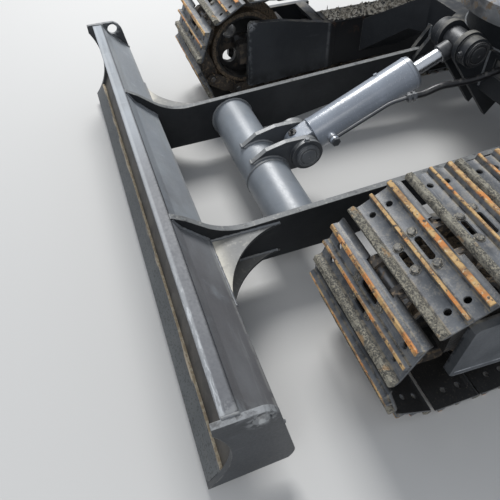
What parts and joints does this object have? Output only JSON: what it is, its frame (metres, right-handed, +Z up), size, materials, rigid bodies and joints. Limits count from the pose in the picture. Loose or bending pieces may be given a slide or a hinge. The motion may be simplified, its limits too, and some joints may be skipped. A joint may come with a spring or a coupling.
{
  "type": "crawler undercarriage with dozer blade",
  "caption": "Crawler undercarriage of a small excavator: steel tracks, side frames, slew ring seat and a dozer blade lifted by one hydraulic cylinder.",
  "frame": {"origin": "middle of the slew ring's top face, where the turning house bolts on", "axes": "+Z up along the slew axis, -Y towards the blade, +X to the machine's left side; the ground is at z = -0.660 m"},
  "size_m": [2.026, 2.9359, 0.6601],
  "materials": {
    "dark_grey_paint": "satin, scuffed",
    "shoe_steel": "worn, rusty grouser tips",
    "worn_steel": "scraped bare",
    "chrome_rod": "polished",
    "pin_steel": "dull",
    "ring_steel": "machined",
    "wheel_steel": "dirty",
    "pipe_steel": "dull",
    "hose_rubber": "matt"
  },
  "bodies": {
    "undercarriage": {"arm_clevises": "dark_grey_paint", "arm_pivot_pins": "pin_steel", "car_body": "dark_grey_paint", "chassis_ears": "dark_grey_paint", "chassis_pin": "pin_steel", "idler_left": "wheel_steel", "idler_right": "wheel_steel", "idler_yoke_left": "dark_grey_paint", "idler_yoke_right": "dark_grey_paint", "lower_rollers_left": "wheel_steel", "lower_rollers_right": "wheel_steel", "motor_bracket_left": "dark_grey_paint", "motor_bracket_right": "dark_grey_paint", "side_frame_left": "dark_grey_paint", "side_frame_right": "dark_grey_paint", "slew_ring_inner": "ring_steel", "slew_tub": "dark_grey_paint", "sprocket_left": "wheel_steel", "sprocket_right": "wheel_steel", "swivel_joint": "dark_grey_paint", "top_rollers": "wheel_steel", "track_left": "shoe_steel", "track_right": "shoe_steel", "track_spring_left": "dark_grey_paint", "track_spring_right": "dark_grey_paint", "travel_drive_left": "dark_grey_paint", "travel_drive_right": "dark_grey_paint"},
    "slew_ring": {"slew_ring_outer": "ring_steel"},
    "blade": {"blade_skin": "dark_grey_paint", "blade_top_box": "dark_grey_paint", "cutting_edge": "worn_steel", "end_plate_left": "dark_grey_paint", "end_plate_right": "dark_grey_paint", "push_arm_left": "dark_grey_paint", "push_arm_right": "dark_grey_paint", "arm_gussets_left": "dark_grey_paint", "arm_gussets_right": "dark_grey_paint", "cross_tube": "dark_grey_paint", "tube_ears": "dark_grey_paint", "tube_pin": "pin_steel"},
    "lift_barrel": {"cylinder_barrel": "dark_grey_paint", "cylinder_gland": "dark_grey_paint", "cylinder_hose": "hose_rubber", "cylinder_pipe": "pipe_steel"},
    "lift_rod": {"cylinder_rod": "chrome_rod"}
  },
  "joints": [
    {"name": "slew", "type": "hinge", "parent": "undercarriage", "child": "slew_ring", "pos_m": [0, 0, 0], "axis": [0, 0, 1], "continuous": true},
    {"name": "blade_lift", "type": "hinge", "parent": "undercarriage", "child": "blade", "pos_m": [0, -0.268, -0.402], "axis": [-1, 0, 0], "range_deg": [-14, 15]},
    {"name": "barrel_swing", "type": "hinge", "parent": "blade", "child": "lift_barrel", "pos_m": [0, -1.006, -0.422], "axis": [-1, 0, 0], "range_deg": [-1, 1]},
    {"name": "rod_slide", "type": "slide", "parent": "lift_barrel", "child": "lift_rod", "axis": [0, 0.9108, 0.4129], "range_m": [-0.08, 0.075]}
  ],
  "couplings": [
    {"joint": "barrel_swing", "follows": "blade_lift", "ratio": 0.0142},
    {"joint": "rod_slide", "follows": "blade_lift", "m_per_rad": -0.2848}
  ]
}
